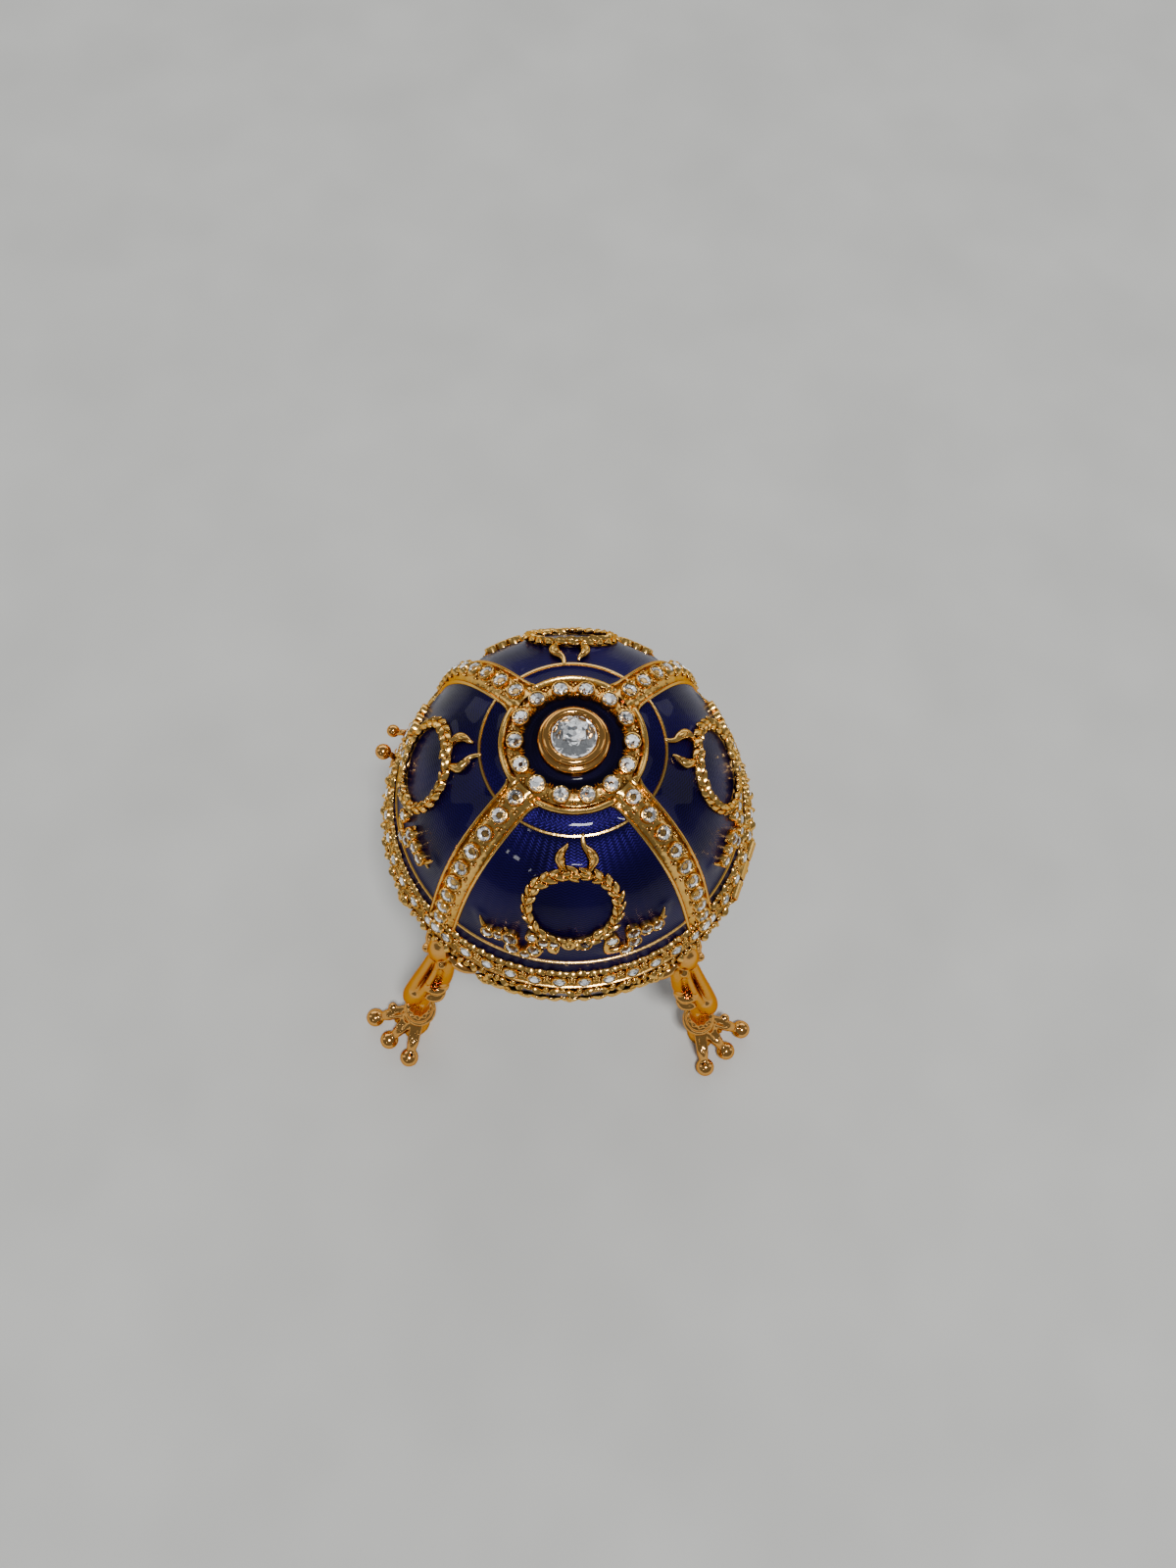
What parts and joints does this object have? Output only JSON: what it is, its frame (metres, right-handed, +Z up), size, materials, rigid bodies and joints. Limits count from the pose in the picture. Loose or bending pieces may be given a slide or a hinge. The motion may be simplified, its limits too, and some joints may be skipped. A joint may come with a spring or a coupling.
{
  "type": "jewelled egg trinket box",
  "caption": "Enamelled egg trinket box on frog legs, with a hinged jewelled lid over a hollow bowl and a snap clasp of two small balls.",
  "frame": {"origin": "on the ground, under the egg's own axis and midway between the four feet", "axes": "+Z up along the egg's axis; the front panel faces -Y; +X to the right"},
  "size_m": [0.0746, 0.0718, 0.0787],
  "materials": {
    "enamelled_casting": "dark cobalt enamel over engraved metal, with gold plated relief",
    "gold_plate": "polished gold plate on cast metal",
    "crystal": "clear cut crystal"
  },
  "bodies": {
    "base": {"base": "enamelled_casting", "leg_front_left": "gold_plate", "leg_front_right": "gold_plate", "leg_back_left": "gold_plate", "leg_back_right": "gold_plate", "hinge_pin": "gold_plate", "clasp_base": "gold_plate"},
    "lid": {"lid": "enamelled_casting", "crown_crystal": "crystal", "clasp_lid": "gold_plate"}
  },
  "joints": [
    {"name": "lid_hinge", "type": "hinge", "parent": "base", "child": "lid", "pos_m": [0.02726, -0.01046, 0.0481], "axis": [0.3584, 0.9336, 0], "range_deg": [0, 100]}
  ]
}
